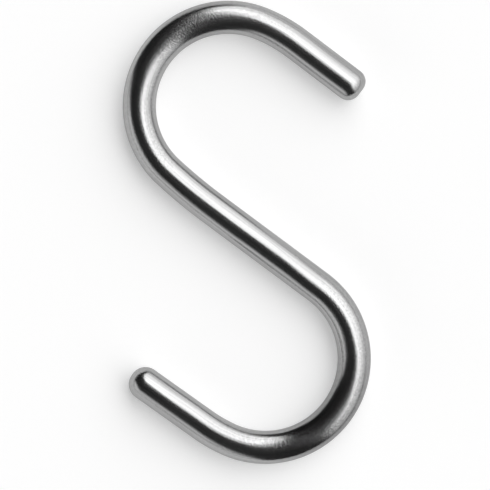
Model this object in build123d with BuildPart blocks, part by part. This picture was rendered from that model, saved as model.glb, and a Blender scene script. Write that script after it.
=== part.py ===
from build123d import *
import os

# An S hook for hanging things from a rail, bent cold from one length of round stainless steel rod.
# It lies flat, as it would on a bench: the rod's centreline is parallel to the XY plane,
# half a rod's thickness above it. +Y runs towards the upper hook, the one that goes over the
# rail, and +Z is up from the bench. The origin is on the bench, half way between the centres
# of the two bends. Lengths are in mm and angles in degrees.

# The rod
rod_diameter = 6.0

# The straight shank between the two bends, and how steeply it falls from left to right
shank_length = 23.8
shank_slope = 36.6

# Both bends are formed round a pin of this diameter
bend_inside_diameter = 26.0
upper_bend_turn = 159.6
lower_bend_turn = 168.0

# The rod leaves the pin on a wider curve towards each leg, so the mouths open a little.
# The upper bend also runs into the shank on a wide curve, where the lower one starts cleanly.
leg_ease_radius = 28.2
upper_leg_ease_turn = 14.7
lower_leg_ease_turn = 10.8
shank_ease_radius = 96.0
shank_ease_turn = 6.2

# The straight legs, measured to the very end of the rod
upper_leg_length = 14.4
lower_leg_length = 15.6

# The cut ends are tumbled smooth, which leaves a flat of this diameter in the middle of each
upper_tip_flat = 1.4
lower_tip_flat = 0.4

rod_radius = rod_diameter / 2
bend_radius = (bend_inside_diameter + rod_diameter) / 2


def straight_on(before, length):
    """Carries on from the end of a curve in a straight line."""
    return Line(before @ 1, before @ 1 + (before % 1) * length)


def bend_on(before, radius, turn):
    """Carries on from the end of a curve in a clockwise arc."""
    return JernArc(start=before @ 1, tangent=before % 1, radius=radius, arc_size=-turn)


# The centreline in plan, followed from the middle of the shank out to each end of the rod
with BuildLine() as upper_half:
    half_shank = PolarLine((0, 0), shank_length / 2, 180 - shank_slope)
    shank_ease = bend_on(half_shank, shank_ease_radius, shank_ease_turn)
    upper_bend = bend_on(shank_ease, bend_radius, upper_bend_turn)
    upper_ease = bend_on(upper_bend, leg_ease_radius, upper_leg_ease_turn)
    straight_on(upper_ease, upper_leg_length)

with BuildLine() as lower_half:
    half_shank = PolarLine((0, 0), shank_length / 2, -shank_slope)
    lower_bend = bend_on(half_shank, bend_radius, lower_bend_turn)
    lower_ease = bend_on(lower_bend, leg_ease_radius, lower_leg_ease_turn)
    straight_on(lower_ease, lower_leg_length)

# The origin moves half way between the bends' centres, and the rod is lifted onto the bench
between_bends = (upper_bend.arc_center + lower_bend.arc_center) / 2
onto_bench = Location(Vector(0, 0, rod_radius) - between_bends)
centreline = Wire(upper_half.edges() + lower_half.edges()).moved(onto_bench)

# The bent rod, with its two ends rounded over
with BuildPart() as s_hook:
    with BuildSketch(Plane(origin=centreline @ 0, z_dir=centreline % 0)):
        Circle(rod_radius)
    sweep(path=centreline)
    lower_end, upper_end = s_hook.faces().filter_by(GeomType.PLANE).sort_by(Axis.Y)
    fillet(upper_end.edges(), rod_radius - upper_tip_flat / 2)
    lower_end = s_hook.faces().filter_by(GeomType.PLANE).sort_by(Axis.Y)[0]
    fillet(lower_end.edges(), rod_radius - lower_tip_flat / 2)

s_hook.part.label = "s_hook"
os.makedirs("parts", exist_ok=True)
export_step(s_hook.part, "parts/s_hook.step")
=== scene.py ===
import math

import bpy
import numpy as np
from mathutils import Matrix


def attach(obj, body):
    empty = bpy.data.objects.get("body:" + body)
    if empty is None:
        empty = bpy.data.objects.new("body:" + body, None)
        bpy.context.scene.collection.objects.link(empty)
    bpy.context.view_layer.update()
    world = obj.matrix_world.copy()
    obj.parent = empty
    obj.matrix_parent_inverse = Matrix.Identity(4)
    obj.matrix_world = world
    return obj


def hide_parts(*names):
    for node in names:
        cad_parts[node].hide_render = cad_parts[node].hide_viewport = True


# An S hook of satin stainless rod, lying on a pale bench in a light tent and seen from above.
# Lengths are in metres. The hook's own frame is used throughout: +Y towards its upper bend,
# +Z up from the bench, and the origin half way between the centres of the two bends.

MM = 0.001

# The bent rod, to the sizes of the solid that it stands for
ROD_RADIUS = 3.0 * MM
BEND_RADIUS = 16.0 * MM
LEG_EASE_RADIUS = 28.2 * MM
SHANK_EASE_RADIUS = 96.0 * MM
SHANK_LENGTH = 23.8 * MM
SHANK_SLOPE = 36.6
UPPER_LEG_LENGTH = 14.4 * MM
UPPER_LEG_EASE_TURN = 14.7
UPPER_BEND_TURN = 159.6
SHANK_EASE_TURN = 6.2
LOWER_BEND_TURN = 168.0
LOWER_LEG_EASE_TURN = 10.8
LOWER_LEG_LENGTH = 15.6 * MM
UPPER_FLAT_RADIUS = 0.7 * MM
LOWER_FLAT_RADIUS = 0.2 * MM

# How finely the rod is divided: faces round it, the length of a step along it, and the number of
# steps over a rounded end
FACES_AROUND = 96
STEP_ALONG = 0.45 * MM
TIP_STEPS = 14

# Corners nearer to each other than this are one, and a point may lie this far past a run's end
MERGE_DISTANCE = 0.001 * MM
TOLERANCE = 0.01 * MM

# The finish is laid out on the straight rod, in millimetres. A scale is how closely a pattern's
# waves lie, and a stretch draws the pattern out one way.
LINE_STRETCH = (0.03, 1.0, 1.0)
LINE_SCALE = 2.4
PEEL_SCALE = 3.0
CLOUD_SCALE = 0.25
WOBBLE_SCALE = 0.09
SCRATCH_STRETCH = (0.6, 3.6, 1.0)

# The scratches that bending left lie two ways: how far each is turned from the rod's length, in
# degrees, and its scale. The share is how much they count beside the peel.
SCRATCHES = ((62, 1.1), (-66, 1.4))
SCRATCH_SHARE = 0.7

# How much of the grain the straight lengths have, and the length over which it fades
GRAIN_ON_STRAIGHTS = 0.25
GRAIN_FADE = 5.0 * MM

# How deep the grain and the drawn lines are, and how far the rod wobbles, in millimetres
RELIEF_DEPTH = 0.0135
WOBBLE_DEPTH = 0.35

# How rough and how pale the steel is, and how much the rest of the finish varies that
ROUGHNESS = 0.232
CLOUD_ROUGHNESS = 0.06
LINE_ROUGHNESS = 0.05
STEEL_TONE = 0.39
LINE_TONE = 0.25
GRAIN_TONE = 0.14

# Where the rod's upper side isn't quite level across, as the bending left it: the place along the
# rod and the reach to each side of it, in millimetres, and the slope, rising to the left
LEANS = (
    (6.0, 26.0, 0.055),
    (37.5, 5.0, -0.03),
    (49.0, 6.0, 0.04),
    (101.0, 8.5, -0.055),
    (122.5, 16.0, 0.07),
    (138.0, 7.0, 0.03),
    (145.0, 5.0, -0.03),
    (156.0, 16.0, -0.03),
)

# Where the bending left the rod's section a little oval: the place, the reach and how far the sides
# seem to stand out, all in millimetres. It is in full over this share of the reach.
OVAL = ((36.8, 16.2, 0.24), (131.5, 13.0, 0.28))
OVAL_IN_FULL = 0.6

# Painted shade: where the bends' steel is painted a little darker so that they reflect darker, and where the
# lower one is
# a little smoother: the place, the reach and the change in tone or in roughness
BEND_PAINTED_SHADE = ((34.0, 9.0, -0.055), (126.0, 18.0, -0.11))
SMOOTHER = ((134.0, 12.0, -0.055),)

# How much of its shine steel keeps where it is seen at a grazing angle
EDGE_TINT = 0.75

# The camera looks straight down, as in the photograph. A pixel there is this wide on the hook.
PHOTO_WIDTH = 490
PIXEL_SIZE = 0.18 * MM
CAMERA_CENTRE = (-0.32 * MM, -2.28 * MM)
CAMERA_HEIGHT = 1.0
SENSOR_WIDTH = 36.0

# The bench it lies on. Its lift is how much whiter it looks than its light alone would make it.
BENCH_SIZE = 8.0
BENCH_PALENESS = 0.70
BENCH_LIFT = 0.40

# The light tent. Each wall fills the directions that lean far enough towards its own one, and each
# edge goes from where the wall starts to show to where it shows in full. The foot is an edge too,
# by height.
RIGHT_WALL = (0.902, 0.420, 0.103)
RIGHT_WALL_EDGE = (0.209, 0.290)
LEFT_WALL = (-0.849, -0.528, -0.457)
LEFT_WALL_EDGE = (0.54, 0.70)
LEFT_WALL_GLOW = 1.45
HOT_SPOT = (0.04, 0.28, 0.97)
HOT_SPOT_GLOW = 3.5
HOT_SPOT_SPREAD = 0.89
WALL_FOOT = (-0.06, 0.17)

# Towards its end beyond the upper bend, the foot of the right wall rises by this much: in full at
# the first of these two places sideways, and not at all at the second
FAR_FOOT_RISE = 0.4
FAR_FOOT = (-0.25, 0.35)

# How bright the tent is where it has no wall
TENT_DARKNESS = 0.03

# How much brighter each wall gets lengthways, towards the upper bend, and how the dark changes there
RIGHT_WALL_SLOPE = 0.2
LEFT_WALL_SLOPE = 0.3
DARK_SLOPE = -0.018


def straight(length):
    """A straight run of rod."""
    return {"length": length, "turn": 0.0}


def bend(radius, degrees):
    """A run of rod bent to a radius, to the left where degrees is positive."""
    turn = math.radians(degrees)
    return {"length": radius * abs(turn), "turn": turn}


def direction(heading):
    return np.array([math.cos(heading), math.sin(heading)])


def left_of(heading):
    return np.array([-math.sin(heading), math.cos(heading)])


def follow(runs, start, heading):
    """Gives each run its ends, its first heading and, where it is bent, the centre of its curve."""
    point = np.array(start, float)
    reach = 0.0
    for run in runs:
        run["start"] = point
        run["heading"] = heading
        run["reach"] = reach
        if run["turn"] == 0.0:
            point = point + direction(heading) * run["length"]
        else:
            run["radius"] = run["length"] / run["turn"]
            run["centre"] = point + left_of(heading) * run["radius"]
            heading = heading + run["turn"]
            point = run["centre"] - left_of(heading) * run["radius"]
        reach = reach + run["length"]
        run["end"] = point
    return runs


def rod_runs():
    """The rod's centreline from the upper tip to the lower one, placed in the hook's frame."""
    upper_bend = bend(BEND_RADIUS, UPPER_BEND_TURN)
    lower_bend = bend(BEND_RADIUS, -LOWER_BEND_TURN)
    runs = [
        straight(UPPER_LEG_LENGTH),
        bend(LEG_EASE_RADIUS, UPPER_LEG_EASE_TURN),
        upper_bend,
        bend(SHANK_EASE_RADIUS, SHANK_EASE_TURN),
        straight(SHANK_LENGTH),
        lower_bend,
        bend(LEG_EASE_RADIUS, -LOWER_LEG_EASE_TURN),
        straight(LOWER_LEG_LENGTH),
    ]
    turned_by_shank = UPPER_LEG_EASE_TURN + UPPER_BEND_TURN + SHANK_EASE_TURN
    heading = math.radians(-SHANK_SLOPE - turned_by_shank)
    follow(runs, (0.0, 0.0), heading)
    between_bends = (upper_bend["centre"] + lower_bend["centre"]) / 2
    return follow(runs, -between_bends, heading)


def at_rod_height(point):
    return (point[0], point[1], ROD_RADIUS)


def push_ring(heading, distance):
    """Extrudes the selected ring straight on."""
    move = direction(heading) * distance
    bpy.ops.mesh.extrude_region_move(TRANSFORM_OT_translate={"value": (move[0], move[1], 0.0)})


def resize_ring(factor, centre):
    bpy.ops.transform.resize(value=(factor, factor, factor), center_override=at_rod_height(centre))


def tip_profile(flat):
    """How far in from the end of the rod each ring of its rounding lies, and the ring's radius."""
    rounding = ROD_RADIUS - flat
    angles = [math.pi / 2 * step / TIP_STEPS for step in range(TIP_STEPS + 1)]
    return [(rounding * (1 - math.cos(a)), flat + rounding * math.sin(a)) for a in angles]


def grow_upper_tip(run):
    """Widens the first ring from the flat of the upper end to the full rod."""
    rings = tip_profile(UPPER_FLAT_RADIUS)
    for (before, narrow), (inset, wide) in zip(rings, rings[1:]):
        push_ring(run["heading"], inset - before)
        resize_ring(wide / narrow, run["start"] + direction(run["heading"]) * inset)
    return rings[-1][0]


def close_lower_tip(run):
    """Narrows the last ring down to the flat of the lower end."""
    rings = tip_profile(LOWER_FLAT_RADIUS)[::-1]
    for (before, wide), (inset, narrow) in zip(rings, rings[1:]):
        push_ring(run["heading"], before - inset)
        resize_ring(narrow / wide, run["end"] - direction(run["heading"]) * inset)


def extrude_straight(heading, length):
    steps = max(1, round(length / STEP_ALONG))
    for _ in range(steps):
        push_ring(heading, length / steps)


def spin_bend(run):
    """Spins the selected ring round the centre of its bend. Spin counts clockwise as positive."""
    steps = max(2, round(run["length"] / STEP_ALONG))
    bpy.ops.mesh.spin(steps=steps, angle=-run["turn"], center=at_rod_height(run["centre"]), axis=(0, 0, 1))


def close_and_clean():
    """Joins what the spins doubled, closes the two flats and turns all faces outwards."""
    bpy.ops.mesh.select_all(action="SELECT")
    bpy.ops.mesh.remove_doubles(threshold=MERGE_DISTANCE)
    bpy.ops.mesh.select_all(action="DESELECT")
    bpy.ops.mesh.select_non_manifold()
    bpy.ops.mesh.fill_holes(sides=FACES_AROUND)
    bpy.ops.mesh.select_all(action="SELECT")
    bpy.ops.mesh.normals_make_consistent(inside=False)
    bpy.ops.object.mode_set(mode="OBJECT")
    bpy.ops.object.transform_apply(location=True, rotation=True, scale=True)
    bpy.ops.object.shade_smooth()


def place_on_run(run, points):
    """How far along a run each point lies, and how far to the left of its centreline."""
    ahead = direction(run["heading"])
    left = left_of(run["heading"])
    if run["turn"] == 0.0:
        offset = points - run["start"]
        return offset @ ahead, offset @ left
    side = np.sign(run["turn"])
    spoke = (points - run["centre"]) * side
    turned = np.arctan2(spoke @ ahead, -spoke @ left)
    return run["radius"] * turned, run["radius"] - side * np.linalg.norm(spoke, axis=1)


def place_on_rod(runs, points):
    """Where each point lay on the rod before it was bent: along it, across it and up."""
    places = np.zeros((len(points), 3))
    places[:, 2] = points[:, 2] - ROD_RADIUS
    nearest = np.full(len(points), np.inf)
    for run in runs:
        along, across = place_on_run(run, points[:, :2])
        away = np.abs(across)
        here = (along > -TOLERANCE) & (along < run["length"] + TOLERANCE) & (away < nearest)
        nearest[here] = away[here]
        places[here, 0] = along[here] + run["reach"]
        places[here, 1] = across[here]
    return places


def bend_nearby(runs, reach):
    """How sharply the rod is bent round each place along it, up to 1 inside the main bends."""
    total = np.zeros_like(reach)
    for run in runs:
        if run["turn"] != 0.0:
            first = np.maximum(reach - GRAIN_FADE / 2, run["reach"])
            last = np.minimum(reach + GRAIN_FADE / 2, run["reach"] + run["length"])
            total += np.maximum(last - first, 0.0) * BEND_RADIUS / abs(run["radius"])
    return total / GRAIN_FADE


def mark_unbent_places(rod, runs):
    """Stores where each point lay on the straight rod, for a finish that follows the bends."""
    count = len(rod.data.vertices)
    points = np.empty(count * 3)
    rod.data.vertices.foreach_get("co", points)
    places = place_on_rod(runs, points.reshape(count, 3))
    unbent = rod.data.attributes.new("unbent", "FLOAT_VECTOR", "POINT")
    unbent.data.foreach_set("vector", places.astype(np.float32).ravel())
    bent = rod.data.attributes.new("bent", "FLOAT", "POINT")
    bent.data.foreach_set("value", bend_nearby(runs, places[:, 0]).astype(np.float32))


def model_rod():
    runs = rod_runs()
    first = runs[0]
    last = runs[-1]
    bpy.ops.object.select_all(action="DESELECT")
    bpy.ops.mesh.primitive_circle_add(
        vertices=FACES_AROUND,
        radius=UPPER_FLAT_RADIUS,
        location=at_rod_height(first["start"]),
        rotation=(math.pi / 2, 0, first["heading"] + math.pi / 2),
    )
    rod = bpy.context.object
    rod.name = "satin_rod"
    bpy.ops.object.mode_set(mode="EDIT")
    bpy.ops.mesh.select_all(action="SELECT")
    rounded = grow_upper_tip(first)
    extrude_straight(first["heading"], first["length"] - rounded)
    for run in runs[1:-1]:
        if run["turn"] == 0.0:
            extrude_straight(run["heading"], run["length"])
        else:
            spin_bend(run)
    extrude_straight(last["heading"], last["length"] - (ROD_RADIUS - LOWER_FLAT_RADIUS))
    close_lower_tip(last)
    close_and_clean()
    mark_unbent_places(rod, runs)
    return rod


class Shading:
    """Short ways to add nodes to one node tree."""

    def __init__(self, owner):
        owner.use_nodes = True
        self.tree = owner.node_tree
        self.tree.nodes.clear()

    def node(self, kind, **settings):
        made = self.tree.nodes.new("ShaderNode" + kind)
        for name, value in settings.items():
            setattr(made, name, value)
        return made

    def feed(self, socket, value):
        """Sets a socket to a constant, or links another node's output to it."""
        if isinstance(value, bpy.types.NodeSocket):
            self.tree.links.new(value, socket)
        else:
            socket.default_value = value

    def math(self, operation, first, second=0.0):
        made = self.node("Math", operation=operation)
        self.feed(made.inputs[0], first)
        self.feed(made.inputs[1], second)
        return made.outputs["Value"]

    def vector(self, operation, first, second, output="Vector"):
        made = self.node("VectorMath", operation=operation)
        self.feed(made.inputs[0], first)
        self.feed(made.inputs["Scale" if operation == "SCALE" else 1], second)
        return made.outputs[output]

    def split(self, vector):
        """The three parts of a vector."""
        made = self.node("SeparateXYZ")
        self.feed(made.inputs["Vector"], vector)
        return made.outputs

    def ramp(self, value, low, high, to_low=0.0, to_high=1.0):
        """Goes smoothly from one level to another as a value goes from low to high."""
        made = self.node("MapRange", interpolation_type="SMOOTHSTEP")
        self.feed(made.inputs["Value"], value)
        self.feed(made.inputs["From Min"], low)
        self.feed(made.inputs["From Max"], high)
        self.feed(made.inputs["To Min"], to_low)
        self.feed(made.inputs["To Max"], to_high)
        return made.outputs["Result"]

    def noise(self, where, scale, detail):
        """Noise that lies about nought."""
        made = self.node("TexNoise")
        self.feed(made.inputs["Vector"], where)
        self.feed(made.inputs["Scale"], scale)
        self.feed(made.inputs["Detail"], detail)
        return self.math("SUBTRACT", made.outputs["Fac"], 0.5)

    def mix(self, first, *rest):
        """A plain value, or a socket, with any number of (socket, share) added to it."""
        total = first
        for value, share in rest:
            total = self.math("ADD", self.math("MULTIPLY", value, share), total)
        return total


def grey(level):
    return (level, level, level, 1.0)


def bells(shade, along, places, total=0.0, in_full=0.0):
    """Adds to a value, at each place along the rod, a change that fades out at its reach from there."""
    for place, reach, change in places:
        away = shade.math("ABSOLUTE", shade.math("SUBTRACT", along, place))
        total = shade.math("ADD", shade.ramp(away, reach * in_full, reach, change, 0.0), total)
    return total


def hairlines(shade, along, around, turned, scale):
    """Fine scratches that lie turned from the rod's length, on its unrolled surface."""
    flat = shade.node("CombineXYZ")
    shade.feed(flat.inputs["X"], along)
    shade.feed(flat.inputs["Y"], around)
    rotate = shade.node("VectorRotate", rotation_type="Z_AXIS")
    shade.feed(rotate.inputs["Vector"], flat.outputs["Vector"])
    shade.feed(rotate.inputs["Angle"], math.radians(turned))
    stretched = shade.vector("MULTIPLY", rotate.outputs["Vector"], SCRATCH_STRETCH)
    return shade.noise(stretched, scale, detail=1.0)


def bending_grain(shade, on_rod, along, across, up):
    """Crossed scratches and a fine peel, in full in the bends and faint on the straight lengths."""
    around = shade.math("MULTIPLY", shade.math("ARCTAN2", across, up), ROD_RADIUS / MM)
    scratches = [(hairlines(shade, along, around, *way), SCRATCH_SHARE) for way in SCRATCHES]
    grain = shade.mix(shade.noise(on_rod, PEEL_SCALE, detail=1.0), *scratches)
    bent = shade.node("Attribute", attribute_name="bent").outputs["Fac"]
    return shade.math("MULTIPLY", grain, shade.ramp(bent, 0.0, 1.0, GRAIN_ON_STRAIGHTS, 1.0))


def stray(shade, on_rod, along, across):
    """How far the surface strays from a true rod, in millimetres: it leans, is oval and wobbles."""
    lean = shade.math("MULTIPLY", bells(shade, along, LEANS), across)
    outwards = shade.math("MULTIPLY", across, shade.math("MULTIPLY", across, (MM / ROD_RADIUS) ** 2))
    oval = shade.math("MULTIPLY", outwards, bells(shade, along, OVAL, in_full=OVAL_IN_FULL))
    wobble = shade.noise(on_rod, WOBBLE_SCALE, detail=0.0)
    return shade.mix(lean, (wobble, WOBBLE_DEPTH), (oval, 1.0))


def relief(shade, height, depth=1.0, below=None):
    """A bump, laid over the one below it. A height of 1 stands for this depth in millimetres."""
    bump = shade.node("Bump")
    shade.feed(bump.inputs["Height"], height)
    shade.feed(bump.inputs["Distance"], depth * MM)
    if below is not None:
        shade.feed(bump.inputs["Normal"], below)
    return bump.outputs["Normal"]


def satin_steel():
    """Tumbled stainless rod: faint lines along it from drawing, and a fine grain where it was bent."""
    material = bpy.data.materials.new("satin_steel")
    shade = Shading(material)
    unbent = shade.node("Attribute", attribute_name="unbent").outputs["Vector"]
    on_rod = shade.vector("SCALE", unbent, 1 / MM)
    along, across, up = shade.split(on_rod)

    drawn = shade.noise(shade.vector("MULTIPLY", on_rod, LINE_STRETCH), LINE_SCALE, detail=3.0)
    clouds = shade.noise(on_rod, CLOUD_SCALE, detail=3.0)
    grain = bending_grain(shade, on_rod, along, across, up)
    fine = relief(shade, shade.mix(grain, (drawn, 1.0)), RELIEF_DEPTH)
    wavy = relief(shade, stray(shade, on_rod, along, across), below=fine)
    rough = bells(shade, along, SMOOTHER, ROUGHNESS)
    rough = shade.mix(rough, (clouds, CLOUD_ROUGHNESS), (drawn, LINE_ROUGHNESS))
    # The bends' tone is lowered here as painted shade, beneath the real drawn lines and grain
    tone = bells(shade, along, BEND_PAINTED_SHADE, STEEL_TONE)
    tone = shade.mix(tone, (drawn, LINE_TONE), (grain, GRAIN_TONE))

    steel = shade.node("BsdfPrincipled")
    shade.feed(steel.inputs["Base Color"], tone)
    shade.feed(steel.inputs["Metallic"], 1.0)
    shade.feed(steel.inputs["Specular Tint"], grey(EDGE_TINT))
    shade.feed(steel.inputs["Roughness"], rough)
    shade.feed(steel.inputs["Normal"], wavy)
    out = shade.node("OutputMaterial")
    shade.feed(out.inputs["Surface"], steel.outputs["BSDF"])
    return material


def bench_white():
    """Pale card. Its lift shows it white to the camera and in the metal, and leaves the hook's shadow."""
    material = bpy.data.materials.new("bench_white")
    shade = Shading(material)
    path = shade.node("LightPath")
    seen = shade.math("ADD", path.outputs["Is Camera Ray"], path.outputs["Is Glossy Ray"])
    seen = shade.math("MINIMUM", shade.math("ADD", seen, path.outputs["Is Transmission Ray"]), 1.0)
    card = shade.node("BsdfDiffuse")
    shade.feed(card.inputs["Color"], grey(BENCH_PALENESS))
    lift = shade.node("Emission")
    shade.feed(lift.inputs["Strength"], shade.math("MULTIPLY", seen, BENCH_LIFT))
    both = shade.node("AddShader")
    shade.feed(both.inputs[0], card.outputs["BSDF"])
    shade.feed(both.inputs[1], lift.outputs["Emission"])
    out = shade.node("OutputMaterial")
    shade.feed(out.inputs["Surface"], both.outputs["Shader"])
    return material


def lay_bench():
    bpy.ops.object.select_all(action="DESELECT")
    bpy.ops.mesh.primitive_plane_add(size=BENCH_SIZE, location=(0, 0, 0))
    bench = bpy.context.object
    bench.name = "pale_bench"
    bench.data.materials.append(bench_white())


def right_wall(shade, towards, sideways, lengthways, height):
    """The glow of the wall on the right, which is brightest nearly overhead."""
    shown = shade.ramp(shade.vector("DOT_PRODUCT", towards, RIGHT_WALL, "Value"), *RIGHT_WALL_EDGE)
    above_foot = shade.math("SUBTRACT", height, shade.ramp(sideways, *FAR_FOOT, FAR_FOOT_RISE, 0.0))
    shown = shade.math("MULTIPLY", shown, shade.ramp(above_foot, *WALL_FOOT))
    from_hot = shade.vector("DISTANCE", towards, HOT_SPOT, "Value")
    falloff = shade.math("MULTIPLY", shade.math("MULTIPLY", from_hot, from_hot), -0.5 / HOT_SPOT_SPREAD ** 2)
    glow = shade.math("MULTIPLY", shade.math("EXPONENT", falloff), HOT_SPOT_GLOW)
    glow = shade.mix(glow, (lengthways, RIGHT_WALL_SLOPE))
    return shade.math("MULTIPLY", shown, glow)


def left_wall(shade, towards, lengthways, height):
    """The glow of the dimmer wall, low on the left."""
    shown = shade.ramp(shade.vector("DOT_PRODUCT", towards, LEFT_WALL, "Value"), *LEFT_WALL_EDGE)
    shown = shade.math("MULTIPLY", shown, shade.ramp(height, *WALL_FOOT))
    return shade.math("MULTIPLY", shown, shade.mix(LEFT_WALL_GLOW, (lengthways, LEFT_WALL_SLOPE)))


def light_tent():
    """A dark tent with a glowing wall on each side, and an open strip between them for the camera."""
    world = bpy.data.worlds.new("light_tent")
    bpy.context.scene.world = world
    shade = Shading(world)
    towards = shade.node("TexCoord").outputs["Generated"]
    sideways, lengthways, height = shade.split(towards)
    right = right_wall(shade, towards, sideways, lengthways, height)
    left = left_wall(shade, towards, lengthways, height)
    dark = shade.math("MAXIMUM", shade.mix(TENT_DARKNESS, (lengthways, DARK_SLOPE)), 0.0)
    sky = shade.node("Background")
    shade.feed(sky.inputs["Strength"], shade.math("ADD", shade.math("ADD", right, left), dark))
    out = shade.node("OutputWorld")
    shade.feed(out.inputs["Surface"], sky.outputs["Background"])


def aim_camera():
    camera = bpy.data.cameras.new("camera")
    camera.sensor_width = SENSOR_WIDTH
    camera.lens = SENSOR_WIDTH * (CAMERA_HEIGHT - ROD_RADIUS) / (PHOTO_WIDTH * PIXEL_SIZE)
    holder = bpy.data.objects.new("camera", camera)
    holder.location = (*CAMERA_CENTRE, CAMERA_HEIGHT)
    bpy.context.collection.objects.link(holder)
    bpy.context.scene.camera = holder


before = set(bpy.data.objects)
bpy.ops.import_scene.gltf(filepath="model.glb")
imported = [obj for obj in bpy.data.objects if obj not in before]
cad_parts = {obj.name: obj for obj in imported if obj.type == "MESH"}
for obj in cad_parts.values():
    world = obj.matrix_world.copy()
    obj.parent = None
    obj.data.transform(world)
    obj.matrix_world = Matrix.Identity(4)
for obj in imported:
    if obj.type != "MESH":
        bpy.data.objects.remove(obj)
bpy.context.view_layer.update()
aim_camera()

rod = model_rod()
rod.data.materials.append(satin_steel())
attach(rod, "root")
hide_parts("s_hook")

lay_bench()
light_tent()
bpy.context.scene.view_settings.view_transform = "Standard"
